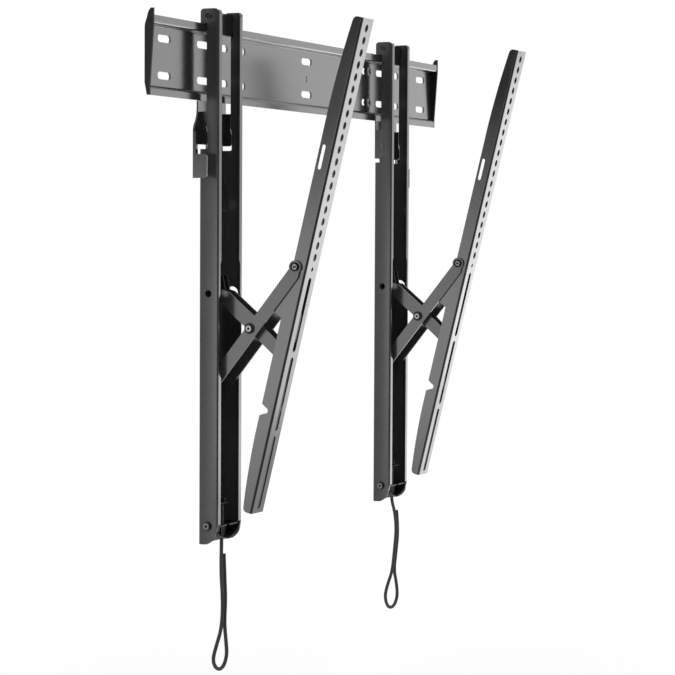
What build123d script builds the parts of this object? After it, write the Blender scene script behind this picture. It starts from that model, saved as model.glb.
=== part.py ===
from build123d import *
import math
import os

# Tilting wall bracket for a large flat screen. X runs along the wall plate, the wall is the plane
# Y = 0 and the screen is towards -Y, Z is up. The origin is the middle of the wall plate's back.

# Wall plate, one folded steel sheet
plate_width = 900.0
plate_steel = 2.5
plate_bend = 2.25
upper_lip_top = 47.0
upper_lip_front = 12.0
lower_lip_bottom = 47.0
lower_lip_front = 7.5
joggle_height = 37.25
slot_length = 33.0
slot_height = 9.0
slot_row = 22.0
inch = 25.4
stud_columns = [0.0, 8 * inch, 10 * inch, 12 * inch, 16 * inch]
mark_hole = 3.2
mark_drop = 1.2
mark_step = 4.8
mark_slit = 1.0

# End caps, moulded
cap_wall = 3.0
cap_front = 12.5
cap_rear = 1.0
cap_tip_height = 55.0
cap_tip_reach = 9.6
cap_tip_flat = 3.0
cap_shoulder = 32.0
cap_heel = 4.0
cap_clip_length = 12.0
cap_clip_gap = 0.3

# Bolts on the wall plate
plate_bolt_column = 8 * inch
plate_bolt_head = 13.0
plate_bolt_crown = 3.0
plate_bolt_shank = 8.0
plate_bolt_socket = 5.0
plate_washer = 18.0
plate_washer_thick = 1.6

# Uprights, lipped channels that hang on the wall plate
left_centre = -280.0
right_centre = 269.0
upright_width = 68.0
upright_depth = 26.0
upright_steel = 2.0
upright_gap = 2.5
upright_bend = 2.5
upright_lip = 9.0
upright_top = 66.0
upright_foot = -594.5
foot_flat = 8.5
foot_rise = 5.5
foot_recede = 4.5
foot_cut_top = -570.0
foot_arc_back = 9.0
lip_end_inset = 3.6
upright_corner = 6.0
hook_panel_gap = 1.2
hook_panel_top = 63.0
hook_panel_foot = 36.0
hook_play = 0.1
lip_play = 0.5
lip_head_room = 1.5
plate_notch_play = 4.5
latch_notch_top = -78.0
latch_notch_foot = -106.0
latch_notch_front = 13.5
latch_notch_slope = 6.0
latch_notch_round = 2.0
relief_top = -243.0
relief_step = -283.0
relief_foot = -371.0
relief_slope = 10.0
relief_shallow = 2.5
relief_flange = 3.2
pivot_window = 9.0
far_window = 16.0

# Rivets at the top of each upright
hanger_height = 57.0
hanger_depth = 14.0
hanger_pin = 5.0
hanger_head = 9.6
hanger_crown = 1.8

# Scissor pivots at rest, as seen from the side
pivot_depth = 15.0
pivot_height = -284.0
cross_depth = 65.4
cross_height = -326.2
rail_pivot_depth = 126.2
rail_pivot_height = -250.0
slide_depth = 16.5
slider_inset = 14.5

# Screen rails
rail_tilt = 13.62
rail_width = 35.4
rail_depth = 18.5
rail_steel = 2.0
rail_bend = 3.0
rail_above = 312.0
rail_below = 311.0
rail_pivot_inset = 14.4
rail_taper_start = 200.0
rail_taper_depth = 12.0
rail_taper_bulge = 1.2
rail_foot_start = 215.0
rail_corner = 6.0
lug_top = 18.0
lug_tip = 58.5
lug_foot = 66.6
lug_reach = 14.9
hole_count = 20
hole_pitch = 15.0
hole_width = 8.4
hole_length = 9.8
mark_square = 5.0
long_slot_count = 3
long_slot_start = 10.5
long_slot_length = 94.0
long_slot_web = 6.8
cable_slot_middle = 137.5
cable_slot_length = 31.0
cable_slot_width = 5.0
cable_slot_inset = 13.2
notch_middle = -181.5
notch_inset = 12.6
notch_radius = 3.8
notch_mouth = 8.0

# Arms
arm_steel = 2.5
arm_play = 0.4
long_arm_back = 4.6
long_arm_front = 11.5
long_arm_end = 8.0
long_arm_web_start = 13.0
long_arm_web_end = 54.0
short_arm_width = 20.0
short_arm_steel = 2.0
short_arm_top = 12.0
short_arm_bottom = 6.5
short_arm_end = 7.5
short_arm_web_start = 12.0
short_arm_web_end = 46.0
short_arm_neck = 10.0

# Pins, rivets, rollers and bushes
cross_pin = 7.0
cross_washer = 13.5
cross_washer_thick = 1.2
cross_head = 9.0
cross_crown = 2.6
cross_dimple = 3.4
rivet_play = 0.05
rail_rivet = 6.0
rail_rivet_head = 11.0
rail_rivet_crown = 2.4
rail_rivet_tail = 1.6
rail_rivet_groove = 7.4
rail_rivet_boss = 3.4
axle = 6.0
axle_crown = 1.5
axle_head = 9.0
moving_gap = 0.3
glide = 13.0
glide_gap = 1.5
glide_edge = 2.0
slider_pin = 5.0
slider_travel = 34.0
bracket_steel = 1.8
bracket_edge = 2.0
bracket_bend = 1.2
bracket_overlap = 6.0
slider_collar = 2.0
slider_slack = 2.8
slider_play = 0.3

# Bracket inside each upright that carries the short arm
ear_half = 7.0
ear_steel = 2.0
ear_end = 9.5
ear_top = -262.0
ear_nose = 6.3

# Quick release latch
latch_steel = 2.0
latch_top = -43.2
latch_foot = -100.5
latch_wall_top = -60.0
latch_wall_play = 0.5
latch_side_play = 0.1
latch_back_play = 0.1
latch_slot_spare = 0.6
latch_travel = 5.0
wing_shoulder = 8.0
wing_reach = 18.0
wing_start = -47.0
wing_neck = -60.0
wing_full = -85.0
wing_foot = -142.0
wing_gap = 8.0
wing_fold = 4.0
tab_top = -112.5
tab_front = 21.7
tab_corner = 3.0
tongue_left = -22.0
tongue_right = 22.0
tongue_foot = -150.0
tongue_step = 3.0
tongue_play = 0.1
guide_rivet = 5.0
guide_rivet_height = -128.0
guide_rivet_offset = 0.0
guide_rivet_head = 9.0
guide_rivet_crown = 1.5
guide_rivet_tail = 1.2
spring_offset = -15.0
spring_axis_depth = 9.6
spring_diameter = 7.0
spring_wire = 1.0
spring_seat = 12.0
spring_length = 30.0
spring_turns = 8
spring_seat_reach = 9.0

# Pull strip from the latch to the cord
strip_offset = 16.0
strip_width = 8.0
strip_steel = 1.2
strip_bend = 4.0
strip_turn = -505.0
strip_eye_height = -545.0
strip_eye_reach = 5.5
strip_rivet = 4.0
strip_rivet_head = 7.0
strip_rivet_crown = 1.2
strip_rivet_height = -143.0

# Cord guide at the foot of each upright
guide_top = -571.5
guide_foot = -590.0
guide_back = 7.0
guide_edge = 0.8
guide_play = 0.2
boss_top = -562.0
boss_foot = -580.0
boss_inner = 14.0
boss_back = 8.5
boss_front = 21.5
guide_bolt_depth = 15.0
guide_bolt_height = -571.5
guide_bolt = 5.0
guide_bolt_tip = 2.0
guide_bolt_head = 9.0
guide_bolt_crown = 3.5
guide_bolt_socket = 4.0
guide_washer = 11.5
guide_washer_thick = 1.0

# Pull cords
cord = 4.6
cord_play = 1.2
cord_depth = 17.4
cord_knot = 9.5
cord_knot_height = 7.0
cord_start = strip_eye_height + strip_steel / 2 - rivet_play
left_route = [
    (0.0, -cord_depth, cord_start), (0.25, -17.5, -567.0), (-0.1, -17.4, -592.0),
    (-1.2, -17.2, -632.0), (3.0, -17.9, -670.0), (0.8, -17.5, -703.0), (-10.5, -15.7, -724.0),
    (-18.5, -14.4, -741.0), (-9.5, -15.9, -754.0), (3.5, -18.0, -754.0), (12.5, -19.4, -739.0),
    (9.5, -18.9, -718.0), (6.4, -18.4, -697.0), (8.8, -18.8, -668.0), (6.6, -18.5, -638.0),
    (5.1, -18.2, -610.0)]
right_route = [
    (0.0, -cord_depth, cord_start), (0.2, -17.5, -568.0), (-0.4, -17.3, -594.0),
    (9.6, -18.9, -614.0), (13.8, -19.7, -640.0), (8.6, -18.8, -672.0), (3.0, -17.9, -701.0),
    (-8.5, -16.0, -717.0), (-17.0, -14.7, -735.0), (-8.0, -16.1, -752.0), (8.0, -18.7, -753.0),
    (18.8, -20.4, -738.0), (14.4, -19.7, -716.0), (8.3, -18.7, -699.0), (13.6, -19.6, -672.0),
    (19.2, -20.5, -640.0), (14.4, -19.7, -612.0)]
tangent_share = 0.45

# Sizes worked out from the ones above
half_width = upright_width / 2
web_back = -upright_gap
web_front = web_back - upright_steel
upright_front = web_back - upright_depth
lip_back = upright_front + upright_steel
flange_inside = half_width - upright_steel
upper_lip_back = upper_lip_front - plate_steel
lower_lip_back = lower_lip_front - plate_steel
joggle_top = joggle_height + plate_steel / 2
joggle_under = joggle_height - plate_steel / 2
rail_half = rail_width / 2
rail_inside = rail_half - rail_steel
arm_inside = rail_half + arm_play
arm_outside = arm_inside + arm_steel
short_half = short_arm_width / 2
plate_notch_front = lower_lip_front + plate_notch_play

pivot = Vector(0, -pivot_depth, pivot_height)
cross = Vector(0, -cross_depth, cross_height)
rail_pivot = Vector(0, -rail_pivot_depth, rail_pivot_height)
long_way = (rail_pivot - cross).normalized()
slide_pivot = cross - long_way * ((cross.Y + slide_depth) / long_way.Y)
long_lower = (cross - slide_pivot).length
long_upper = (rail_pivot - cross).length
short_way = (cross - pivot).normalized()
short_upper = (cross - pivot).length
rail_up = Vector(0, 0, 1).rotate(Axis.X, rail_tilt)
rail_back = Vector(0, 1, 0).rotate(Axis.X, rail_tilt)
rail_origin = rail_pivot - rail_back * rail_pivot_inset
cross_inset = (cross - rail_origin).dot(rail_back)
short_lower = (slider_inset - cross_inset) / short_way.dot(rail_back)
slider = cross + short_way * short_lower
slider_along = (slider - rail_origin).dot(rail_up)
long_angle = math.degrees(math.atan2(-long_way.Y, long_way.Z))
short_angle = math.degrees(math.atan2(-short_way.Y, -short_way.Z))


def side_slab(face, low, high):
    # A profile drawn in Y and Z, made solid from one X to another.
    return extrude(Plane.YZ.offset(low) * face, amount=high - low)


def front_slab(face, near, far):
    # A profile drawn in X and Z, made solid from one depth in front of the wall to another.
    return extrude(Plane.XZ.offset(near) * face, amount=far - near)


def block(x_range, y_range, z_range):
    size = [max(r) - min(r) for r in (x_range, y_range, z_range)]
    middle = [(max(r) + min(r)) / 2 for r in (x_range, y_range, z_range)]
    return Pos(*middle) * Box(*size)


def rod(radius, low, high, y, z):
    # A round bar along X.
    return Pos((low + high) / 2, y, z) * Rot(0, 90, 0) * Cylinder(radius, high - low)


def polygon(*points):
    return make_face(Polyline(*points, close=True))


def both_sides(shape):
    return shape + mirror(shape, about=Plane.YZ)


def wall_plate():
    middle = plate_steel / 2
    path = FilletPolyline(
        (middle - upper_lip_front, upper_lip_top),
        (middle - upper_lip_front, joggle_height),
        (-middle, joggle_height),
        (-middle, -joggle_height),
        (middle - lower_lip_front, -joggle_height),
        (middle - lower_lip_front, -lower_lip_bottom),
        radius=plate_bend,
    )
    sheet = side_slab(trace(path, line_width=plate_steel), -plate_width / 2, plate_width / 2)
    columns = sorted({sign * column for column in stud_columns for sign in (-1, 1)})
    spots = [Pos(column, row) for column in columns for row in (-slot_row, slot_row)]
    holes = Sketch() + [spot * SlotOverall(slot_length, slot_height) for spot in spots]
    marks = [Pos(0, end * mark_step / 2 - mark_drop) * Circle(mark_hole / 2) for end in (-1, 1)]
    slit = Pos(0, -mark_drop) * Rectangle(mark_slit, mark_step)
    return sheet - front_slab(holes + marks + slit, -plate_steel, 2 * plate_steel)


def end_cap(side):
    tip = -cap_tip_reach
    shoulder_mid = (cap_shoulder + cap_tip_height) / 2
    back = Spline(
        (tip, cap_tip_height),
        ((tip - cap_rear) / 2 + cap_tip_flat / 2, shoulder_mid),
        (-cap_rear, cap_shoulder),
        tangents=[(1, -0.6), (0, -1)],
    )
    rim = Polyline(
        (-cap_rear, cap_shoulder),
        (-cap_rear, -cap_shoulder),
        (-cap_heel, -lower_lip_bottom),
        (-lower_lip_front, -lower_lip_bottom),
        (-lower_lip_front, -joggle_height),
        (-cap_front, joggle_under),
        (-cap_front, upper_lip_top),
        (tip - cap_tip_flat, cap_tip_height),
        (tip, cap_tip_height),
    )
    outline = make_face([back, rim])
    edge = plate_width / 2
    wall = side_slab(outline, edge, edge + cap_wall)
    clip = block(
        (edge - cap_clip_length, edge),
        (-plate_steel - cap_clip_gap, -upper_lip_back + cap_clip_gap),
        (joggle_top + cap_clip_gap, upper_lip_top - cap_clip_gap),
    )
    cap = wall + clip
    return cap if side > 0 else mirror(cap, about=Plane.YZ)


def plate_bolts():
    near = plate_steel + plate_washer_thick
    head = Pos(0, -near) * Rot(90, 0, 0) * Pos(0, 0, plate_bolt_crown / 2) * Cylinder(
        plate_bolt_head / 2, plate_bolt_crown
    )
    head = fillet(head.edges().filter_by(GeomType.CIRCLE).sort_by(Axis.Y)[0], plate_bolt_crown / 2.5)
    socket = front_slab(RegularPolygon(plate_bolt_socket / 2, 6), near + plate_bolt_crown / 2, near + 9)
    shank = front_slab(Circle(plate_bolt_shank / 2), 0, near)
    bolt = head - socket + shank
    return Compound([Pos(plate_bolt_column, 0, row) * bolt for row in (-slot_row, slot_row)])


def plate_washers():
    ring = Circle(plate_washer / 2) - Circle(plate_bolt_shank / 2 + rivet_play)
    washer = front_slab(ring, plate_steel, plate_steel + plate_washer_thick)
    return Compound([Pos(plate_bolt_column, 0, row) * washer for row in (-slot_row, slot_row)])


def upright():
    middle = (web_back + upright_front) / 2
    outer = RectangleRounded(upright_width, upright_depth, upright_bend)
    inner = RectangleRounded(
        upright_width - 2 * upright_steel, upright_depth - 2 * upright_steel, upright_bend - upright_steel
    )
    mouth = Pos(0, (upright_steel - upright_depth) / 2) * Rectangle(
        upright_width - 2 * upright_lip, 2 * upright_steel
    )
    length = upright_top - upright_foot
    channel = extrude(Pos(0, middle, upright_foot) * (outer - inner - mouth), amount=length)
    flat_end = web_back - foot_flat
    toe = (upright_front + foot_recede, upright_foot + foot_rise)
    foot = Spline((flat_end, upright_foot), toe, tangents=[(-1, 0), (-1, 0.2)])
    sides = Polyline(
        (flat_end, upright_foot),
        (web_back, upright_foot),
        (web_back, upright_top),
        (upright_front, upright_top),
        (upright_front, foot_cut_top),
        toe,
    )
    side = make_face([foot, sides])
    side = fillet(side.vertices().group_by(Axis.Y)[-1], upright_corner)
    hook_foot = joggle_top + hook_play
    notch = polygon(
        (web_back + 1, hook_foot),
        (lip_play - upper_lip_back, hook_foot),
        (lip_play - upper_lip_back, upper_lip_top + lip_head_room),
        (-lip_play - upper_lip_front, upper_lip_top + lip_head_room),
        (-lip_play - upper_lip_front, joggle_under - lip_play),
        (-plate_notch_front, joggle_under - lip_play),
        (-plate_notch_front, latch_notch_top),
        (-latch_notch_front, latch_notch_top - latch_notch_slope),
        (-latch_notch_front, latch_notch_foot),
        (web_back + 1, latch_notch_foot),
    )
    deep = notch.vertices().sort_by_distance((-latch_notch_front, latch_notch_foot, 0))[0]
    side -= fillet(deep, latch_notch_round)
    channel &= side_slab(side, -half_width, half_width)
    lip_edge = half_width - upright_lip
    flange_edge = half_width - relief_flange
    relief = polygon(
        (lip_edge - 1, relief_top + relief_slope / 4),
        (lip_edge + relief_shallow, relief_top - relief_slope / 2),
        (lip_edge + relief_shallow, relief_step),
        (flange_edge, relief_step - relief_slope),
        (flange_edge, relief_foot),
        (lip_edge - 1, relief_foot - relief_slope * 1.3),
    )
    channel -= both_sides(front_slab(relief, -lip_back - 0.4, -upright_front + 1))
    lip_cut = half_width - lip_end_inset
    channel -= block(
        (-lip_cut, lip_cut),
        (upright_front - 1, upright_front + upright_bend),
        (foot_cut_top, upright_foot - 1),
    )
    channel -= rod(pivot_window / 2, -upright_width, upright_width, pivot.Y, pivot.Z)
    channel -= rod(hanger_pin / 2, -upright_width, upright_width, -hanger_depth, hanger_height)
    rivet_hole = Pos(guide_rivet_offset, guide_rivet_height) * Circle(guide_rivet / 2 + rivet_play)
    channel -= front_slab(rivet_hole, 0, -web_front + 1)
    seat_top = tongue_foot - spring_length
    window = Rectangle(spring_seat, spring_seat_reach)
    window = Pos(spring_offset, seat_top + spring_seat_reach / 2) * window
    channel -= front_slab(window, 0, -web_front + 0.5)
    seat = block(
        (spring_offset - spring_seat / 2, spring_offset + spring_seat / 2),
        (web_back, web_front - spring_seat_reach),
        (seat_top, seat_top - upright_steel),
    )
    return channel + seat


def one_hand_cuts():
    # Same on both uprights: the far flange has an arc at its foot and a wide window, the near one a screw hole.
    tall = foot_cut_top - upright_foot
    deep = -upright_front - foot_arc_back
    corner = Pos(upright_front + deep / 2, foot_cut_top - tall / 2) * Rectangle(deep, tall)
    kept = Pos(upright_front + deep, foot_cut_top) * Ellipse(deep, tall)
    trim = side_slab(corner - kept, half_width - upright_bend, half_width + 1)
    hole = rod(guide_bolt / 2, -half_width - 1, 1 - flange_inside, -guide_bolt_depth, guide_bolt_height)
    window = rod(far_window / 2, flange_inside - 1, half_width + 1, pivot.Y, pivot.Z)
    return Compound([trim, hole, window])


def hook_plate():
    back = -upper_lip_front - hook_panel_gap
    face = Pos(0, (hook_panel_top + hook_panel_foot) / 2) * Rectangle(
        2 * flange_inside, hook_panel_top - hook_panel_foot
    )
    return front_slab(fillet(face.vertices(), upright_steel), -back, upright_steel - back)


def hanger_rivets():
    reach = half_width + hanger_crown
    pin = rod(hanger_pin / 2, flange_inside, half_width, -hanger_depth, hanger_height)
    head = rod(hanger_head / 2, half_width, reach, -hanger_depth, hanger_height)
    rim = head.edges().filter_by(GeomType.CIRCLE).sort_by(Axis.X)[-1]
    rivet = pin + fillet(rim, hanger_crown / 2)
    return Compound([rivet, mirror(rivet, about=Plane.YZ)])


def long_arm():
    length = long_lower + long_upper
    front = -long_arm_front
    back = long_arm_back
    outline = polygon(
        (back, 0),
        (back, length),
        (front + long_arm_end / 2, length),
        (front, length - long_arm_end),
        (front, -long_arm_end),
    )
    outline += Circle(long_arm_end)
    outline += Pos(0, length) * Circle(long_arm_end)
    plate = side_slab(outline, arm_inside, arm_outside)
    for along, radius in ((0, axle / 2), (long_lower, cross_pin / 2), (length, rail_rivet / 2)):
        plate -= rod(radius + rivet_play, 0, upright_width, 0, along)
    web = block(
        (-arm_inside, arm_inside), (back - arm_steel, back), (long_arm_web_start, long_arm_web_end)
    )
    return Pos(*slide_pivot) * Rot(long_angle, 0, 0) * (both_sides(plate) + web)


def short_arm():
    length = short_upper + short_lower
    top = -short_arm_top
    outline = polygon(
        (short_arm_bottom, 0),
        (short_arm_bottom, -short_upper),
        (short_arm_end, -length),
        (-short_arm_end, -length),
        (top, short_arm_neck - short_upper),
        (top, -short_arm_neck),
        (-short_arm_end, 0),
    )
    outline += Circle(short_arm_end)
    outline += Pos(0, -length) * Circle(short_arm_end)
    plate = side_slab(outline, short_half - short_arm_steel, short_half)
    for along, radius in ((0, axle / 2), (short_upper, cross_pin / 2), (length, slider_pin / 2)):
        plate -= rod(radius + rivet_play, 0, upright_width, 0, -along)
    inside = short_half - short_arm_steel
    web = block(
        (-inside, inside),
        (short_arm_bottom - short_arm_steel, short_arm_bottom),
        (-short_arm_web_start, -short_arm_web_end),
    )
    return Pos(*pivot) * Rot(-short_angle, 0, 0) * (both_sides(plate) + web)


def cross_rivet():
    face = arm_outside + cross_washer_thick
    pin = rod(cross_pin / 2, -face, face, cross.Y, cross.Z)
    head = rod(cross_head / 2, face, face + cross_crown, cross.Y, cross.Z)
    far = head.edges().filter_by(GeomType.CIRCLE).sort_by(Axis.X)[-1]
    head = fillet(far, cross_crown / 2.2)
    head -= rod(cross_dimple / 2, face + cross_crown / 2, face + cross_crown + 1, cross.Y, cross.Z)
    return pin + both_sides(head)


def cross_washers():
    face = arm_outside + cross_washer_thick
    ring = rod(cross_washer / 2, arm_outside, face, cross.Y, cross.Z)
    ring -= rod(cross_pin / 2 + rivet_play, 0, upright_width, cross.Y, cross.Z)
    return Compound([ring, mirror(ring, about=Plane.YZ)])


def rail_rivets():
    y = rail_pivot.Y
    z = rail_pivot.Z
    under = arm_outside + moving_gap
    head = rod(rail_rivet_head / 2, under, under + rail_rivet_crown, y, z)
    far = head.edges().filter_by(GeomType.CIRCLE).sort_by(Axis.X)[-1]
    head = fillet(far, rail_rivet_crown / 2.2)
    floor = under + rail_rivet_crown / 2
    groove = rod(rail_rivet_groove / 2, floor, floor + rail_rivet_crown, y, z)
    groove -= rod(rail_rivet_boss / 2, under, floor + rail_rivet_crown, y, z)
    head -= groove
    pin = rod(rail_rivet / 2, rail_inside, under, y, z)
    tail = rod(rail_rivet_head / 2, rail_inside - rail_rivet_tail, rail_inside, y, z)
    rivet = head + pin + tail
    return Compound([rivet, mirror(rivet, about=Plane.YZ)])


def pivot_bracket():
    low = web_front - ear_steel
    side = polygon(
        (web_front, ear_top),
        (pivot.Y - ear_nose, ear_top),
        (pivot.Y - ear_end, pivot.Z + ear_nose),
        (pivot.Y - ear_end, pivot.Z),
        (pivot.Y, pivot.Z - ear_end),
        (web_front, pivot.Z - ear_end),
    )
    side += Pos(pivot.Y, pivot.Z) * Circle(ear_end)
    side -= Pos(pivot.Y, pivot.Z) * Circle(axle / 2)
    ear = side_slab(side, ear_half - ear_steel, ear_half)
    base = block((-ear_half, ear_half), (web_front, low), (ear_top, pivot.Z - ear_end))
    return both_sides(ear) + base


def pivot_axle():
    under = short_half + moving_gap
    pin = rod(axle / 2, -under, under, pivot.Y, pivot.Z)
    head = rod(axle_head / 2, under, under + axle_crown, pivot.Y, pivot.Z)
    return pin + both_sides(head)


def slide_axle():
    reach = flange_inside - moving_gap
    return rod(axle / 2, -reach, reach, slide_pivot.Y, slide_pivot.Z)


def slide_glides():
    outer = flange_inside - moving_gap
    disc = rod(glide / 2, arm_outside + glide_gap, outer, slide_pivot.Y, slide_pivot.Z)
    disc = fillet(disc.edges().filter_by(GeomType.CIRCLE), glide_edge)
    disc -= rod(axle / 2, 0, upright_width, slide_pivot.Y, slide_pivot.Z)
    return Compound([disc, mirror(disc, about=Plane.YZ)])


def on_rail(shape):
    # From the rail's own upright frame, whose origin is on its front face, to its tilted place.
    return Pos(*rail_origin) * Rot(rail_tilt, 0, 0) * shape


def screen_rail():
    outer = Pos(0, rail_depth / 2) * Rectangle(rail_width, rail_depth)
    outer = fillet(outer.vertices().group_by(Axis.Y)[0], rail_bend)
    hollow = Pos(0, rail_steel + rail_depth / 2) * Rectangle(2 * rail_inside, rail_depth)
    hollow = fillet(hollow.vertices().group_by(Axis.Y)[0], rail_bend - rail_steel)
    length = rail_above + rail_below
    channel = extrude(Pos(0, 0, -rail_below) * (outer - hollow), amount=length)
    taper_middle = (rail_taper_depth + rail_depth) / 2 + rail_taper_bulge
    head_taper = ThreePointArc(
        (rail_taper_depth, rail_above),
        (taper_middle, (rail_above + rail_taper_start) / 2),
        (rail_depth, rail_taper_start),
    )
    foot_taper = ThreePointArc(
        (rail_depth, -rail_foot_start),
        (taper_middle, -(rail_below + rail_foot_start) / 2),
        (rail_taper_depth, -rail_below),
    )
    back = Line((rail_depth, rail_taper_start), (rail_depth, -rail_foot_start))
    edges = Polyline(
        (rail_taper_depth, -rail_below),
        (0, -rail_below),
        (0, rail_above),
        (rail_taper_depth, rail_above),
    )
    side = make_face([head_taper, back, foot_taper, edges])
    corners = [v for v in side.vertices() if v.X > rail_taper_depth / 2 and abs(v.Y) > rail_foot_start + 1]
    side = fillet(corners, rail_corner)
    notch = Pos(notch_inset, notch_middle) * Circle(notch_radius)
    notch += polygon(
        (notch_inset, notch_middle - notch_radius),
        (notch_inset, notch_middle + notch_radius),
        (rail_depth + 1, notch_middle + notch_mouth),
        (rail_depth + 1, notch_middle - notch_mouth),
    )
    side -= notch
    side -= Pos(cable_slot_inset, cable_slot_middle) * Rot(0, 0, 90) * SlotOverall(
        cable_slot_length, cable_slot_width
    )
    side -= Pos(rail_pivot_inset, 0) * Circle(rail_rivet / 2 + rivet_play)
    channel &= side_slab(side, -rail_width, rail_width)
    upright_hole = Rot(0, 0, 90) * SlotOverall(hole_length, hole_width)
    front = Sketch() + [Pos(0, hole_pitch * (n + 1)) * upright_hole for n in range(hole_count)]
    front += Rot(0, 0, 45) * Rectangle(mark_square, mark_square)
    for n in range(long_slot_count):
        middle = -long_slot_start - long_slot_length / 2 - n * (long_slot_length + long_slot_web)
        front += Pos(0, middle) * Rot(0, 0, 90) * SlotOverall(long_slot_length, hole_width)
    cutter = front_slab(front, -rail_steel - 1, 1)
    root = rail_depth - rail_steel
    lug = polygon((root, -lug_top), (rail_depth + lug_reach, -lug_tip), (root, -lug_foot))
    channel += both_sides(side_slab(lug, rail_inside, rail_half))
    return on_rail(channel - cutter)


def slide_bracket():
    outer = rail_inside
    near = rail_steel + bracket_bend
    far = slider_inset + slider_pin / 2 + slider_play + bracket_edge
    middle = slider_along - slider_travel / 2
    near_edge = slider_inset - slider_slack - slider_pin / 2 - slider_play
    far_edge = slider_inset + slider_pin / 2 + slider_play
    track_length = slider_travel + slider_pin + 2 * slider_play
    cheek = Pos((near + far) / 2, middle) * Rectangle(far - near, track_length + 2 * bracket_overlap)
    cheek = fillet(cheek.vertices(), bracket_edge)
    track = Pos((near_edge + far_edge) / 2, middle) * Rectangle(far_edge - near_edge, track_length)
    cheek -= fillet(track.vertices(), slider_pin / 2)
    plate = side_slab(cheek, outer - bracket_steel, outer)
    return Compound([on_rail(plate), on_rail(mirror(plate, about=Plane.YZ))])


def slider_axle():
    reach = rail_inside - moving_gap
    pin = rod(slider_pin / 2, -reach, reach, slider.Y, slider.Z)
    ring = rod(slider_pin / 2 + slider_collar, short_half, short_half + slider_collar, slider.Y, slider.Z)
    return pin + both_sides(ring)


def latch():
    back = -web_back - latch_back_play
    front = back + latch_steel
    wide = half_width - latch_side_play
    base = Pos(0, (latch_top + latch_foot) / 2) * Rectangle(2 * wide, latch_top - latch_foot)
    far = half_width + wing_reach
    shoulder = half_width + wing_shoulder
    flare = Spline(
        (shoulder, wing_start),
        (shoulder + 0.5, wing_neck),
        ((shoulder + far) / 2, (wing_neck + wing_full) / 2),
        (far, wing_full),
        tangents=[(0, -1), (0, -1)],
    )
    edge = Polyline(
        (far, wing_full),
        (far, wing_foot),
        (half_width + wing_gap, wing_foot),
        (half_width + wing_gap, latch_foot),
        (wide, latch_foot),
        (wide, wing_start),
        (shoulder, wing_start),
    )
    plate = front_slab(base + make_face([flare, edge]), back, front)
    plate += block((far - latch_steel, far), (-back, -back - wing_fold), (wing_full, tab_top))
    tab = Pos((tab_front + back) / 2 * -1, (tab_top + wing_foot) / 2) * Rectangle(
        tab_front - back, tab_top - wing_foot
    )
    tab = fillet(tab.vertices().group_by(Axis.X)[0], tab_corner)
    plate += side_slab(tab, far - latch_steel, far)
    wall_front = plate_notch_front - latch_wall_play
    wall_deep = latch_notch_front - latch_wall_play
    wall_step = latch_notch_top - 4 * latch_wall_play
    wall = polygon(
        (-back, latch_wall_top),
        (-wall_front, latch_wall_top),
        (-wall_front, wall_step),
        (-wall_deep, wall_step - latch_notch_slope),
        (-wall_deep, latch_foot + latch_notch_round),
        (latch_notch_round - wall_deep, latch_foot),
        (-back, latch_foot),
    )
    plate += both_sides(side_slab(wall, wide - upright_steel, wide))
    inner = -web_front + tongue_play
    tongue = polygon(
        (-back, latch_foot + 2 * tongue_step + latch_steel),
        (-front, latch_foot + 2 * tongue_step + latch_steel),
        (-inner - latch_steel, latch_foot + tongue_step + latch_steel),
        (-inner - latch_steel, tongue_foot),
        (-inner, tongue_foot),
        (-inner, latch_foot + tongue_step),
        (-back, latch_foot + 2 * tongue_step),
    )
    plate += side_slab(tongue, tongue_left, tongue_right)
    seat = block(
        (spring_offset - spring_seat / 2, spring_offset + spring_seat / 2),
        (-inner, web_front - spring_seat_reach),
        (tongue_foot, tongue_foot + latch_steel),
    )
    plate += seat
    slot = SlotCenterToCenter(latch_travel + latch_slot_spare, guide_rivet + 2 * moving_gap)
    slot_middle = guide_rivet_height + latch_travel / 2
    plate -= front_slab(Pos(guide_rivet_offset, slot_middle) * Rot(0, 0, 90) * slot, front, front + 9)
    plate -= front_slab(
        Pos(strip_offset, strip_rivet_height) * Circle(strip_rivet / 2 + rivet_play), front, front + 9
    )
    return plate


def latch_guide():
    face = -web_front + 2 * tongue_play + latch_steel
    spot = Pos(guide_rivet_offset, guide_rivet_height)
    head = front_slab(spot * Circle(guide_rivet_head / 2), face, face + guide_rivet_crown)
    pin = front_slab(spot * Circle(guide_rivet / 2), -web_back, face)
    tail = front_slab(spot * Circle(guide_rivet_head / 2), -web_back - guide_rivet_tail, -web_back)
    return head + pin + tail


def latch_spring():
    radius = (spring_diameter - spring_wire) / 2
    gap = 0.15
    height = spring_length - 2 * gap - spring_wire
    start = tongue_foot - spring_length + gap + spring_wire / 2
    path = Helix(pitch=height / spring_turns, height=height, radius=radius)
    wire = sweep(Plane(path @ 0, z_dir=path % 0) * Circle(spring_wire / 2), path=path)
    return Pos(spring_offset, -spring_axis_depth - spring_wire, start) * wire


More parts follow.
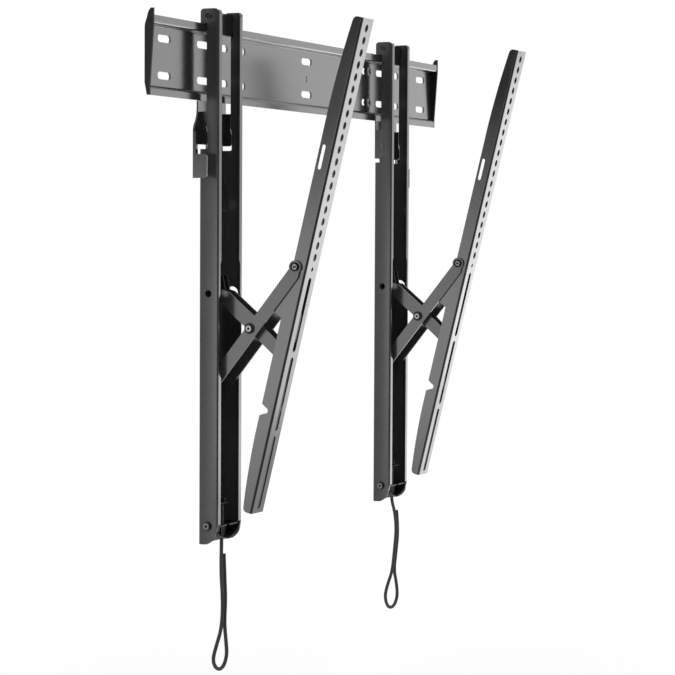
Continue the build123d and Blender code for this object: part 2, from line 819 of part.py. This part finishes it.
def pull_strip():
    back = -web_front + tongue_play + latch_steel
    run = web_front - tongue_play - strip_steel / 2
    high = run - latch_steel
    path = FilletPolyline(
        (high, strip_rivet_height + strip_rivet_head),
        (high, tongue_foot - strip_bend),
        (run, tongue_foot - 3 * strip_bend),
        (run, strip_turn),
        (-cord_depth + strip_eye_reach, strip_eye_height),
        (-cord_depth - strip_eye_reach, strip_eye_height),
        radius=strip_bend / 2,
    )
    band = trace(path, line_width=strip_steel)
    strip = side_slab(band, strip_offset - strip_width / 2, strip_offset + strip_width / 2)
    foot = block(
        (-strip_eye_reach, strip_offset + strip_width / 2),
        (-cord_depth + strip_eye_reach - strip_bend, -cord_depth - strip_eye_reach),
        (strip_eye_height - strip_steel / 2, strip_eye_height + strip_steel / 2),
    )
    strip += foot
    strip -= Pos(0, -cord_depth, strip_eye_height) * Cylinder(cord / 2 + rivet_play, strip_bend)
    hole = Pos(strip_offset, strip_rivet_height) * Circle(strip_rivet / 2 + rivet_play)
    return strip - front_slab(hole, back - 1, back + 5)


def strip_rivet_pin():
    back = -web_front + tongue_play
    face = back + latch_steel + strip_steel
    spot = Pos(strip_offset, strip_rivet_height)
    head = front_slab(spot * Circle(strip_rivet_head / 2), face, face + strip_rivet_crown)
    return head + front_slab(spot * Circle(strip_rivet / 2), back, face)


def cord_guide():
    tall = guide_top - guide_foot
    guide_half = flange_inside - guide_play
    lower_half = Pos(0, guide_top - tall / 2) * Rectangle(3 * guide_half, tall)
    drop = Pos(0, guide_top) * Ellipse(guide_half, tall) & lower_half
    body = front_slab(drop, guide_back, -lip_back - guide_play)
    body = fillet(body.edges().group_by(Axis.Y)[0], guide_edge)
    body += block(
        (guide_play - flange_inside, -boss_inner), (-boss_back, -boss_front), (boss_foot, boss_top)
    )
    bore = Cylinder(cord / 2 + cord_play, 2 * (boss_top - guide_foot))
    body -= Pos(0, -cord_depth, guide_foot) * bore
    tip = -boss_inner - guide_bolt_tip
    return body - rod(guide_bolt / 2, -upright_width, tip, -guide_bolt_depth, guide_bolt_height)


def guide_bolt_piece():
    y = -guide_bolt_depth
    z = guide_bolt_height
    face = -half_width - guide_washer_thick
    head = rod(guide_bolt_head / 2, face - guide_bolt_crown, face, y, z)
    rim = head.edges().filter_by(GeomType.CIRCLE).sort_by(Axis.X)[0]
    head = fillet(rim, guide_bolt_crown / 2.5)
    head -= rod(guide_bolt_socket / 2, face - guide_bolt_crown - 1, face - guide_bolt_crown / 2, y, z)
    return head + rod(guide_bolt / 2, face, -boss_inner - guide_bolt_tip, y, z)


def guide_washer_piece():
    y = -guide_bolt_depth
    z = guide_bolt_height
    ring = rod(guide_washer / 2, -half_width - guide_washer_thick, -half_width, y, z)
    return ring - rod(guide_bolt / 2 + rivet_play, -upright_width, 0, y, z)


def corner_radii(route):
    points = [Vector(*p) for p in route]
    radii = []
    for before, here, after in zip(points, points[1:], points[2:]):
        turn = math.radians((here - before).get_angle(after - here))
        shorter = min((here - before).length, (after - here).length)
        radii.append(tangent_share * shorter / math.tan(turn / 2))
    return radii


def pull_cord(route):
    radii = corner_radii(route)
    print("cord radii", [round(r, 1) for r in radii])
    path = FilletPolyline(*route, radius=radii)
    section = Plane(path @ 0, z_dir=path % 0) * Circle(cord / 2)
    tube = sweep(section, path=path)
    print("cord length", round(path.length, 1), "volume", round(tube.volume), "expected",
          round(path.length * math.pi * cord ** 2 / 4))
    return tube


def stopper_knot():
    low = strip_eye_height + strip_steel / 2
    knot = Pos(0, -cord_depth, low + cord_knot_height / 2) * Cylinder(
        cord_knot / 2, cord_knot_height
    )
    return fillet(knot.edges().filter_by(GeomType.CIRCLE), cord_knot_height / 2.4)


def unit(outer, centre, route):
    pieces = {
        "hook_plate": hook_plate(),
        "hanger_rivets": hanger_rivets(),
        "pivot_bracket": pivot_bracket(),
        "pivot_axle": pivot_axle(),
        "short_arm": short_arm(),
        "slider_axle": slider_axle(),
        "long_arm": long_arm(),
        "cross_rivet": cross_rivet(),
        "cross_washers": cross_washers(),
        "slide_axle": slide_axle(),
        "slide_glides": slide_glides(),
        "screen_rail": screen_rail(),
        "rail_rivets": rail_rivets(),
        "slide_bracket": slide_bracket(),
        "cord_guide": cord_guide(),
        "guide_bolt": guide_bolt_piece(),
        "guide_washer": guide_washer_piece(),
        "stopper_knot": stopper_knot(),
        "pull_cord": pull_cord(route),
    }
    handed = {
        "upright": upright(),
        "latch": latch(),
        "latch_guide": latch_guide(),
        "latch_spring": latch_spring(),
        "pull_strip": pull_strip(),
        "strip_rivet": strip_rivet_pin(),
    }
    for name, shape in handed.items():
        pieces[name] = shape if outer > 0 else mirror(shape, about=Plane.YZ)
    pieces["upright"] -= one_hand_cuts()
    return {name: Pos(centre, 0, 0) * shape for name, shape in pieces.items()}


os.makedirs("parts", exist_ok=True)
nodes = {
    "wall_plate": wall_plate(),
    "end_cap_left": end_cap(-1),
    "end_cap_right": end_cap(1),
    "plate_bolts": plate_bolts(),
    "plate_washers": plate_washers(),
}
for word, outer, centre, route in (
    ("left", -1, left_centre, left_route),
    ("right", 1, right_centre, right_route),
):
    for name, shape in unit(outer, centre, route).items():
        nodes[f"{name}_{word}"] = shape
for name, shape in nodes.items():
    export_step(shape, f"parts/{name}.step")
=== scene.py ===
import math
import bmesh
import bpy
from mathutils import Matrix, Vector


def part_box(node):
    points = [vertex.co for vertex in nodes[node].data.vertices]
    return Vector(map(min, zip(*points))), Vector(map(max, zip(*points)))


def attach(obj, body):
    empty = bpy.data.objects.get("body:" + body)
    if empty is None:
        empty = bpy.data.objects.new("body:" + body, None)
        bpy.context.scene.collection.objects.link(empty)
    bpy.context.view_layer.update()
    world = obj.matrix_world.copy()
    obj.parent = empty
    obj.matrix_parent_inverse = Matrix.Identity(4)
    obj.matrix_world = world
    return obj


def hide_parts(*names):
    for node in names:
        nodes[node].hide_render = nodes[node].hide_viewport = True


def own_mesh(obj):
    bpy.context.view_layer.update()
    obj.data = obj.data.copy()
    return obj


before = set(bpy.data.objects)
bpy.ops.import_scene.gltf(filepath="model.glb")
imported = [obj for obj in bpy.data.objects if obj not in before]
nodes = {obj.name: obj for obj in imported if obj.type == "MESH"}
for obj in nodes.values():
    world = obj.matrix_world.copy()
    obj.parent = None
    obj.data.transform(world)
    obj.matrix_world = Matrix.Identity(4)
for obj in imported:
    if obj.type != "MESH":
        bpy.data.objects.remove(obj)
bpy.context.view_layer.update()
scene = bpy.context.scene
scene.view_settings.view_transform = "Standard"


def put_in_scene(name, data):
    piece = bpy.data.objects.new(name, data)
    scene.collection.objects.link(piece)
    return piece


def shown_as(name, shape):
    # A piece in the scene from a bmesh, which is used up.
    mesh = bpy.data.meshes.new(name)
    shape.to_mesh(mesh)
    shape.free()
    return put_in_scene(name, mesh)


def baked(piece):
    # The mesh of a piece as its modifiers or its curve settings leave it.
    shown = piece.evaluated_get(bpy.context.evaluated_depsgraph_get())
    return bpy.data.meshes.new_from_object(shown)


# Camera at the photograph's place
camera_at = (-2.97953, -1.37583, -0.21290)
yaw, pitch, roll = (math.radians(angle) for angle in (66.01, 2.38, 0.29))
focal_mm, film_mm, far_clip = 129.41, 36, 60
ahead = Vector((
    math.sin(yaw) * math.cos(pitch), math.cos(yaw) * math.cos(pitch), -math.sin(pitch)))
level = Vector((math.cos(yaw), -math.sin(yaw), 0))
upward = level.cross(ahead)
across = math.cos(roll) * level + math.sin(roll) * upward
upward = math.cos(roll) * upward - math.sin(roll) * level
lens = bpy.data.cameras.new("viewpoint")
lens.lens = focal_mm
lens.sensor_width = film_mm
lens.clip_end = far_clip
viewpoint = put_in_scene("viewpoint", lens)
turn = Matrix((across, upward, -ahead)).transposed().to_4x4()
viewpoint.matrix_world = Matrix.Translation(camera_at) @ turn
scene.camera = viewpoint


# Shader helpers
def add_node(tree, kind, feeds=None, **settings):
    # A node with its settings, and each input fed by a value or by another node's output.
    node = tree.nodes.new(kind)
    for word, value in settings.items():
        setattr(node, word, value)
    for word, feed in (feeds or {}).items():
        if isinstance(feed, bpy.types.NodeSocket):
            tree.links.new(feed, node.inputs[word])
        else:
            node.inputs[word].default_value = feed
    return node


def maths(tree, operation, *feeds):
    node = add_node(tree, "ShaderNodeMath", dict(enumerate(feeds)), operation=operation)
    return node.outputs[0]


def ranged(tree, value, low, high, to_low, to_high):
    feeds = {"Value": value, "From Min": low, "From Max": high, "To Min": to_low, "To Max": to_high}
    return add_node(tree, "ShaderNodeMapRange", feeds).outputs[0]


def object_place(tree):
    return add_node(tree, "ShaderNodeTexCoord").outputs["Object"]


def new_group(name, takes, gives):
    # An empty group: takes holds the inputs' first values, gives the outputs' kinds.
    group = bpy.data.node_groups.new(name, "ShaderNodeTree")
    for word, value in takes.items():
        kind = "NodeSocketFloat" if isinstance(value, float) else "NodeSocketColor"
        entry = group.interface.new_socket(word, in_out="INPUT", socket_type=kind)
        entry.default_value = value
    for word, kind in gives.items():
        group.interface.new_socket(word, in_out="OUTPUT", socket_type=kind)
    given = group.nodes.new("NodeGroupInput").outputs
    result = group.nodes.new("NodeGroupOutput").inputs
    return group, given, result


def coat_group():
    # Fine sandy skin of a baked powder coat: grain for the bump, cloudy gloss, faint colour drift.
    group, given, result = new_group(
        "powder_skin",
        {"Tone": (0.05, 0.05, 0.05, 1), "Grain scale": 900.0, "Gloss": 0.4, "Spread": 0.08},
        {"Colour": "NodeSocketColor", "Roughness": "NodeSocketFloat", "Height": "NodeSocketFloat"})
    cloud_scale, speck_share, cloud_middle = 14, 0.6, 0.5
    place = object_place(group)
    fine = given["Grain scale"]
    grain = add_node(group, "ShaderNodeTexNoise", {
        "Vector": place, "Scale": fine, "Detail": 3, "Roughness": 0.55}).outputs["Fac"]
    speck = add_node(group, "ShaderNodeTexVoronoi", {
        "Vector": place, "Scale": fine}).outputs["Distance"]
    cloud = add_node(group, "ShaderNodeTexNoise", {
        "Vector": place, "Scale": cloud_scale, "Detail": 4}).outputs["Fac"]
    peel = maths(group, "MULTIPLY_ADD", speck, speck_share, grain)
    drift = ranged(group, cloud, low=0.3, high=0.7, to_low=0.82, to_high=1.18)
    fleck = ranged(group, grain, low=0.35, high=0.68, to_low=0.7, to_high=1.3)
    shade = add_node(group, "ShaderNodeVectorMath", {
        0: given["Tone"], "Scale": maths(group, "MULTIPLY", drift, fleck)}, operation="SCALE")
    haze = maths(group, "SUBTRACT", cloud, cloud_middle)
    rough = maths(group, "MULTIPLY_ADD", haze, given["Spread"], given["Gloss"])
    group.links.new(shade.outputs[0], result["Colour"])
    group.links.new(rough, result["Roughness"])
    group.links.new(peel, result["Height"])
    return group


def dull_group():
    # More roughness towards the wall side of a folded sheet.
    group, given, result = new_group(
        "wall_side_dulling",
        {"Dull at": -0.008, "Glossy at": -0.030, "Amount": 0.4, "Roughness": 0.2},
        {"Roughness": "NodeSocketFloat"})
    apart = add_node(group, "ShaderNodeSeparateXYZ", {0: object_place(group)}).outputs
    fade = ranged(group, apart["Y"], low=given["Glossy at"], high=given["Dull at"],
                  to_low=0.0, to_high=given["Amount"])
    group.links.new(maths(group, "ADD", fade, given["Roughness"]), result["Roughness"])
    return group


def ring_group():
    # How far a point lies from a line along X, cut into a painted-shade middle, a pale ring and a
    # painted-shadow edge.
    group, given, result = new_group(
        "painted_shade_rings",
        {"Depth": 0.0, "Height": 0.0, "Dimple": 0.0015, "Rim": 0.004},
        {"Pale": "NodeSocketFloat"})
    apart = add_node(group, "ShaderNodeSeparateXYZ", {0: object_place(group)}).outputs
    flat = add_node(group, "ShaderNodeCombineXYZ", {
        "Y": maths(group, "SUBTRACT", apart["Y"], given["Depth"]),
        "Z": maths(group, "SUBTRACT", apart["Z"], given["Height"])})
    reach = add_node(group, "ShaderNodeVectorMath", {
        0: flat.outputs[0]}, operation="LENGTH").outputs["Value"]
    beyond = maths(group, "GREATER_THAN", reach, given["Dimple"])
    within = maths(group, "LESS_THAN", reach, given["Rim"])
    group.links.new(maths(group, "MULTIPLY", beyond, within), result["Pale"])
    return group


powder_skin = coat_group()
wall_side_dulling = dull_group()
painted_shade_rings = ring_group()


# Finishes
def finish_of(name, tone, gloss, spread, grain, bump, depth, metal=0.0, specular=0.5):
    material = bpy.data.materials.new(name)
    material.use_nodes = True
    tree = material.node_tree
    paint = tree.nodes["Principled BSDF"].inputs
    paint["Metallic"].default_value = metal
    paint["Specular IOR Level"].default_value = specular
    skin = add_node(tree, "ShaderNodeGroup", {
        "Tone": (*tone, 1), "Gloss": gloss, "Spread": spread, "Grain scale": grain},
        node_tree=powder_skin).outputs
    relief = add_node(tree, "ShaderNodeBump", {
        "Strength": bump, "Distance": depth, "Height": skin["Height"]})
    tree.links.new(skin["Colour"], paint["Base Color"])
    tree.links.new(skin["Roughness"], paint["Roughness"])
    tree.links.new(relief.outputs["Normal"], paint["Normal"])
    return material


def dull_at_wall(material, dull_at, glossy_at, amount):
    tree = material.node_tree
    rough = tree.nodes["Principled BSDF"].inputs["Roughness"]
    dulling = add_node(tree, "ShaderNodeGroup", {
        "Dull at": dull_at, "Glossy at": glossy_at, "Amount": amount,
        "Roughness": rough.links[0].from_socket}, node_tree=wall_side_dulling)
    tree.links.new(dulling.outputs["Roughness"], rough)


def ringed(name, centre, dimple, rim, tone):
    # A head that lies along X: its plated grey between its dimple and its rim, with painted shade
    # in the dimple and painted shadow outside the rim.
    material = finish_of(name, tone, **rivet_plating)
    tree = material.node_tree
    colour = tree.nodes["Principled BSDF"].inputs["Base Color"]
    rings = add_node(tree, "ShaderNodeGroup", {
        "Depth": centre[0], "Height": centre[1], "Dimple": dimple, "Rim": rim},
        node_tree=painted_shade_rings)
    # Painted shade and painted shadow wherever the ring mask isn't pale
    blend = add_node(tree, "ShaderNodeMix", {
        "Factor": rings.outputs["Pale"], "A": rivet_painted_shade, "B": colour.links[0].from_socket},
        data_type="RGBA")
    tree.links.new(blend.outputs["Result"], colour)
    return material


coat = dict(grain=900, bump=0.05, depth=0.0003)
plating = dict(grain=1700, bump=0.10, depth=0.0002)
rivet_plating = dict(gloss=0.30, spread=0.14, metal=0.9, **plating)
# Painted shade for the heads' dimples and painted shadow round their rims
rivet_painted_shade = (0.012, 0.012, 0.012, 1)
# Depth and height of the lines on which the heads lie
cross_centre, rail_centre, bolt_centre = (-0.0654, -0.3262), (-0.1262, -0.2500), (-0.0150, -0.5715)

powder_coat = finish_of(
    "black_powder_coat", (0.014, 0.014, 0.0145), gloss=0.17, spread=0.06, specular=1.0, **coat)
rail_coat = finish_of(
    "rail_powder_coat", (0.015, 0.015, 0.0155), gloss=0.20, spread=0.06, specular=1.0, **coat)
upright_coat = finish_of(
    "upright_powder_coat", (0.034, 0.034, 0.0345), gloss=0.15, spread=0.06, specular=0.50, **coat)
dull_at_wall(upright_coat, dull_at=-0.009, glossy_at=-0.026, amount=0.42)
arm_coat = finish_of(
    "arm_powder_coat", (0.030, 0.030, 0.0305), gloss=0.21, spread=0.08, specular=0.70, **coat)
dark_plate = finish_of(
    "black_plated_steel", (0.05, 0.05, 0.052), gloss=0.26, spread=0.12, metal=0.7, **plating)
pale_plate = finish_of("grey_plated_rivet", (0.22, 0.22, 0.225), **rivet_plating)
black_washer = finish_of(
    "blackened_washer", (0.010, 0.010, 0.0105), gloss=0.45, spread=0.10, specular=0.3, **plating)
cross_head = ringed(
    "cross_rivet_head", cross_centre, dimple=0.0016, rim=0.0040, tone=(0.26, 0.26, 0.265))
rail_head = ringed(
    "rail_rivet_head", rail_centre, dimple=0.0015, rim=0.0034, tone=(0.20, 0.20, 0.205))
bolt_head = ringed(
    "guide_bolt_head", bolt_centre, dimple=0.0014, rim=0.0042, tone=(0.13, 0.13, 0.133))
moulded = finish_of(
    "moulded_black_plastic", (0.008, 0.008, 0.0085), gloss=0.55, spread=0.10,
    grain=2200, bump=0.20, depth=0.0002, specular=0.25)
dull_strip = finish_of(
    "dull_blackened_strip", (0.008, 0.008, 0.0085), gloss=0.60, spread=0.12,
    grain=1500, bump=0.12, depth=0.0002, specular=0.15)
wire = finish_of(
    "blackened_spring_wire", (0.030, 0.030, 0.031), gloss=0.42, spread=0.15,
    grain=2600, bump=0.10, depth=0.0001, metal=0.6)
braid = finish_of(
    "braided_cord", (0.020, 0.020, 0.021), gloss=0.62, spread=0.12,
    grain=2600, bump=0.5, depth=0.0003)

# What isn't named here has the plate's powder coat
finishes = {
    "upright": upright_coat, "screen_rail": rail_coat, "short_arm": arm_coat, "long_arm": arm_coat,
    "pivot_axle": dark_plate, "slider_axle": dark_plate, "slide_axle": dark_plate,
    "cross_rivet": cross_head, "rail_rivets": rail_head, "guide_bolt": bolt_head,
    "plate_bolts": pale_plate, "plate_washers": black_washer,
    "cross_washers": black_washer, "guide_washer": black_washer,
    "pivot_bracket": dull_strip, "latch_guide": dull_strip, "pull_strip": dull_strip,
    "strip_rivet": dull_strip, "stopper_knot": dull_strip,
    "slide_glides": moulded, "end_cap": moulded,
}
for name, piece in nodes.items():
    stem = name.removesuffix("_left").removesuffix("_right")
    piece.data.materials.clear()
    piece.data.materials.append(finishes.get(stem, powder_coat))

# Pull cords, each one smooth line through its route with braided strands round it. A route is in
# millimetres, and its X counts from the middle of its upright.
cord_across, cord_length = 0.0046, 0.373
cord_order, cord_steps, cord_roundness, braid_steps = 3, 12, 6, 60
strand_ring, strand_wave, strand_half = 0.00195, 0.00016, 0.00042
strand_pitch, strands_each_way = 0.0135, 4
left_at, right_at = -280.0, 269.0
left_route = [
    (0.0, -17.4, -544.45), (0.25, -17.5, -567.0), (-0.1, -17.4, -592.0),
    (-1.2, -17.2, -632.0), (3.0, -17.9, -670.0), (0.8, -17.5, -703.0), (-10.5, -15.7, -724.0),
    (-18.5, -14.4, -741.0), (-9.5, -15.9, -754.0), (3.5, -18.0, -754.0), (12.5, -19.4, -739.0),
    (9.5, -18.9, -718.0), (6.4, -18.4, -697.0), (8.8, -18.8, -668.0), (6.6, -18.5, -638.0),
    (5.1, -18.2, -610.0)]
right_route = [
    (0.0, -17.4, -544.45), (0.2, -17.5, -568.0), (-0.4, -17.3, -594.0),
    (9.6, -18.9, -614.0), (13.8, -19.7, -640.0), (8.6, -18.8, -672.0), (3.0, -17.9, -701.0),
    (-8.5, -16.0, -717.0), (-17.0, -14.7, -735.0), (-8.0, -16.1, -752.0), (8.0, -18.7, -753.0),
    (18.8, -20.4, -738.0), (14.4, -19.7, -716.0), (8.3, -18.7, -699.0), (13.6, -19.6, -672.0),
    (19.2, -20.5, -640.0), (14.4, -19.7, -612.0)]


def read_line(piece):
    # The points of a bare curve, in order.
    mesh = baked(piece)
    points = [v.co.copy() for v in mesh.vertices]
    bpy.data.meshes.remove(mesh)
    return points


def braid_round(name, points):
    line = bpy.data.curves.new(name, "CURVE")
    line.dimensions = "3D"
    line.bevel_depth = strand_half
    line.bevel_resolution = 0
    line.use_fill_caps = True
    rings = []
    along = 0.0
    side = Vector((1, 0, 0))
    for here, after in zip(points, points[1:]):
        way = (after - here).normalized()
        side = (side - way * side.dot(way)).normalized()
        rings.append((here, side, way.cross(side), along))
        along += (after - here).length
    for hand in (1, -1):
        for n in range(strands_each_way):
            strand = line.splines.new("POLY")
            strand.points.add(len(rings) - 1)
            for point, (middle, across, other, run) in zip(strand.points, rings):
                turns = run / strand_pitch
                angle = hand * math.tau * (turns + n / strands_each_way)
                wave = math.cos(math.tau * strands_each_way * turns)
                reach = strand_ring + hand * strand_wave * wave
                place = middle + reach * (math.cos(angle) * across + math.sin(angle) * other)
                point.co = (*place, 1)
    holder = put_in_scene(name + "_lines", line)
    mesh = baked(holder)
    bpy.data.objects.remove(holder)
    bpy.data.curves.remove(line)
    mesh.materials.clear()
    mesh.materials.append(braid)
    return put_in_scene(name, mesh)


def lay_cord(route, middle, word):
    line = bpy.data.curves.new(f"hanging_cord_{word}", "CURVE")
    line.dimensions = "3D"
    line.resolution_u = braid_steps
    run = line.splines.new("NURBS")
    run.points.add(len(route) - 1)
    for point, (x, y, z) in zip(run.points, route):
        point.co = ((x + middle) / 1000, y / 1000, z / 1000, 1)
    run.order_u = cord_order
    run.use_endpoint_u = True
    piece = put_in_scene(f"hanging_cord_{word}", line)
    strands = braid_round(f"cord_braid_{word}", read_line(piece))
    line.resolution_u = cord_steps
    line.bevel_depth = cord_across / 2
    line.bevel_resolution = cord_roundness
    line.use_fill_caps = True
    line.materials.append(braid)
    for part in (piece, strands):
        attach(part, f"latch_{word}")
    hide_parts(f"pull_cord_{word}")


lay_cord(left_route, left_at, "left")
lay_cord(right_route, right_at, "right")

# Cord guides: moulded half-oval cups with a pocket on each side of the cord's groove, and a boss
# that the guide bolt screws into
cup_top, cup_foot = -0.5715, -0.5900
cup_half, cup_wall, cup_lid, cup_ledge = 0.0318, 0.0018, 0.0022, 0.0005
cup_back, cup_front, cup_shelf, cup_floor = -0.0070, -0.0263, -0.0195, -0.0125
cup_edge, cup_edge_steps, cup_edge_angle = 0.0004, 2, math.radians(40)
groove_half, groove_wall = 0.0036, 0.0017
boss_inner, boss_skin, boss_back, boss_front = 0.014, 0.0003, -0.0085, -0.0215
boss_foot, boss_top = -0.580, -0.562
cut_past = 0.002
oval_steps = 96


def cut_away(shape, at, way, **side):
    everything = shape.verts[:] + shape.edges[:] + shape.faces[:]
    bmesh.ops.bisect_plane(shape, geom=everything, plane_co=at, plane_no=way, **side)


def half_oval(half, tall, top, front, back):
    # The lower half of an oval, flat on top, from front to back.
    shape = bmesh.new()
    bmesh.ops.create_circle(shape, cap_ends=True, segments=oval_steps, radius=1.0)
    bmesh.ops.scale(shape, vec=(half, tall, 1), verts=shape.verts)
    stood_up = Matrix.Rotation(math.pi / 2, 3, "X")
    bmesh.ops.rotate(shape, cent=(0, 0, 0), matrix=stood_up, verts=shape.verts)
    cut_away(shape, (0, 0, 0), (0, 0, 1), clear_outer=True)
    grown = bmesh.ops.extrude_face_region(shape, geom=shape.faces[:])
    moved = [v for v in grown["geom"] if isinstance(v, bmesh.types.BMVert)]
    bmesh.ops.translate(shape, vec=(0, back - front, 0), verts=moved)
    bmesh.ops.translate(shape, vec=(0, front, top), verts=shape.verts)
    bmesh.ops.recalc_face_normals(shape, faces=shape.faces)
    return shape


def oblong(low, high):
    shape = bmesh.new()
    bmesh.ops.create_cube(shape, size=1.0)
    bmesh.ops.scale(shape, vec=[b - a for a, b in zip(low, high)], verts=shape.verts)
    bmesh.ops.translate(shape, vec=[(a + b) / 2 for a, b in zip(low, high)], verts=shape.verts)
    return shape


def mould_cup(word, middle):
    bolt_low, bolt_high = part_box(f"guide_bolt_{word}")
    hand = 1 if (bolt_low[0] + bolt_high[0]) / 2 > middle else -1
    cup = shown_as(f"cord_cup_{word}",
                   half_oval(cup_half, cup_top - cup_foot, cup_top, cup_front, cup_back))
    reach = cup_half - cup_wall
    deep = cup_top - cup_foot - cup_wall - cup_lid
    roof = cup_top - cup_lid
    hollows = [shown_as("mouth", half_oval(reach, deep, roof, cup_front - cut_past, cup_shelf))]
    for side in (-1, 1):
        pocket = half_oval(reach - cup_ledge, deep - 2 * cup_ledge, roof - cup_ledge,
                           cup_shelf - cut_past, cup_floor)
        cut_away(pocket, (side * (groove_half + groove_wall), 0, 0), (side, 0, 0), clear_inner=True)
        bmesh.ops.holes_fill(pocket, edges=[e for e in pocket.edges if e.is_boundary])
        bmesh.ops.recalc_face_normals(pocket, faces=pocket.faces)
        hollows.append(shown_as("pocket", pocket))
    hollows.append(shown_as("groove", oblong(
        (-groove_half, cup_front - cut_past, cup_foot - cut_past),
        (groove_half, cup_floor, cup_top + cut_past))))
    inner, outer = sorted((hand * boss_inner, hand * (cup_half - boss_skin)))
    boss = shown_as("boss", oblong((inner, boss_front, boss_foot), (outer, boss_back, boss_top)))
    for tool in [*hollows, boss]:
        step = cup.modifiers.new(tool.name, "BOOLEAN")
        step.operation = "UNION" if tool == boss else "DIFFERENCE"
        step.solver = "EXACT"
        step.object = tool
    edge = cup.modifiers.new("edge", "BEVEL")
    edge.width = cup_edge
    edge.segments = cup_edge_steps
    edge.limit_method = "ANGLE"
    edge.angle_limit = cup_edge_angle
    mesh = baked(cup)
    cup.modifiers.clear()
    for tool in [*hollows, boss]:
        bpy.data.objects.remove(tool)
    mesh.transform(Matrix.Translation((middle, 0, 0)))
    cup.data = mesh
    mesh.materials.append(moulded)
    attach(cup, f"carriage_{word}")
    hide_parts(f"cord_guide_{word}")


mould_cup("left", left_at / 1000)
mould_cup("right", right_at / 1000)

# Latch springs, each the spring part's mesh with close corners merged, riding on its carriage
same_corner = 1e-6


def wind_spring(word):
    shape = bmesh.new()
    shape.from_mesh(nodes[f"latch_spring_{word}"].data)
    bmesh.ops.remove_doubles(shape, verts=shape.verts, dist=same_corner)
    coil = shown_as(f"coil_spring_{word}", shape)
    coil.data.materials.append(wire)
    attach(coil, f"carriage_{word}")
    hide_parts(f"latch_spring_{word}")
    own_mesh(coil)


wind_spring("left")
wind_spring("right")

# Pale floor, which a faint glow lifts for the camera and in reflections
floor_level, floor_half, floor_glow = -0.83, 30, 0.07
floor_shape = bmesh.new()
bmesh.ops.create_grid(floor_shape, x_segments=1, y_segments=1, size=floor_half)
bmesh.ops.translate(floor_shape, vec=(0, 0, floor_level), verts=floor_shape.verts)
floor = shown_as("floor", floor_shape)
floor_paint = bpy.data.materials.new("pale_floor")
floor_paint.use_nodes = True
floor_tree = floor_paint.node_tree
floor_skin = floor_tree.nodes["Principled BSDF"].inputs
floor_skin["Base Color"].default_value = (0.94, 0.94, 0.94, 1)
floor_skin["Roughness"].default_value = 0.9
floor_skin["Specular IOR Level"].default_value = 0.0
floor_skin["Emission Color"].default_value = (1, 1, 1, 1)
ray = add_node(floor_tree, "ShaderNodeLightPath").outputs
seen = maths(floor_tree, "ADD", ray["Is Camera Ray"], ray["Is Glossy Ray"])
seen = maths(floor_tree, "ADD", seen, ray["Is Transmission Ray"])
lift = maths(floor_tree, "MULTIPLY", seen, floor_glow)
floor_tree.links.new(lift, floor_skin["Emission Strength"])
floor.data.materials.append(floor_paint)

# Light from all sides, and soft panels
world = bpy.data.worlds.new("surround")
world.use_nodes = True
scene.world = world
sky = world.node_tree.nodes["Background"].inputs
sky["Color"].default_value = (1, 1, 1, 1)
sky["Strength"].default_value = 1.0


def softbox(name, at, towards, wide, tall, watts):
    lamp = bpy.data.lights.new(name, "AREA")
    lamp.shape = "RECTANGLE"
    lamp.size = wide
    lamp.size_y = tall
    lamp.energy = watts
    holder = put_in_scene(name, lamp)
    holder.visible_camera = False
    way = Vector(towards) - Vector(at)
    facing = way.to_track_quat("-Z", "Y").to_matrix().to_4x4()
    holder.matrix_world = Matrix.Translation(at) @ facing


softbox("floor_panel", at=(2.75, -1.1, -0.79), towards=(2.75, -1.1, 1.0),
        wide=1.7, tall=1.6, watts=23.5)
softbox("near_floor_panel", at=(1.42, -0.8, -0.79), towards=(1.42, -0.8, 1.0),
        wide=0.94, tall=1.4, watts=7.8)
softbox("low_front_panel", at=(3.9, -1.9, -0.59), towards=(0.0, -0.05, -0.59),
        wide=2.6, tall=0.48, watts=10)
softbox("front_panel", at=(3.9, -1.9, 0.15), towards=(0.0, -0.05, 0.15),
        wide=2.6, tall=1.0, watts=7.2)
softbox("left_rear_panel", at=(-2.9, 1.15, -0.47), towards=(0.0, 0.0, -0.47),
        wide=2.4, tall=0.70, watts=8.6)

# Dark studio cloths behind and beside the camera and on the ground, which only the gloss shows
cloth_top, left_cloth_foot, ground_cloth_level = 1.6, 0.05, -0.826
ground_cloth_near, ground_cloth_forward = 0.1, 0.1
front_line = [(-4.4, -0.9), (-4.0, -2.6), (-2.6, -4.0), (-0.6, -4.6), (1.0, -4.5)]
left_line = [(-3.2, 3.6), (-4.3, 2.0), (-4.6, 0.6), (-4.4, -0.9)]
near_line = [(ground_cloth_near * x, ground_cloth_near * y - ground_cloth_forward)
             for x, y in front_line]
cloth_paint = bpy.data.materials.new("dark_cloth")
cloth_paint.use_nodes = True
cloth_skin = cloth_paint.node_tree.nodes["Principled BSDF"].inputs
cloth_skin["Base Color"].default_value = (0.06, 0.06, 0.06, 1)
cloth_skin["Roughness"].default_value = 1.0


def hang_cloth(name, first_line, first_level, second_line, second_level):
    shape = bmesh.new()
    edges = []
    for line, height in ((first_line, first_level), (second_line, second_level)):
        corners = [shape.verts.new((x, y, height)) for x, y in line]
        edges += [shape.edges.new(pair) for pair in zip(corners, corners[1:])]
    bmesh.ops.bridge_loops(shape, edges=edges)
    cloth = shown_as(name, shape)
    cloth.data.materials.append(cloth_paint)
    cloth.visible_camera = False
    cloth.visible_diffuse = False
    cloth.visible_shadow = False


hang_cloth("front_cloth", front_line, floor_level, front_line, cloth_top)
hang_cloth("left_cloth", left_line, left_cloth_foot, left_line, cloth_top)
hang_cloth("ground_cloth", near_line, ground_cloth_level, front_line, ground_cloth_level)
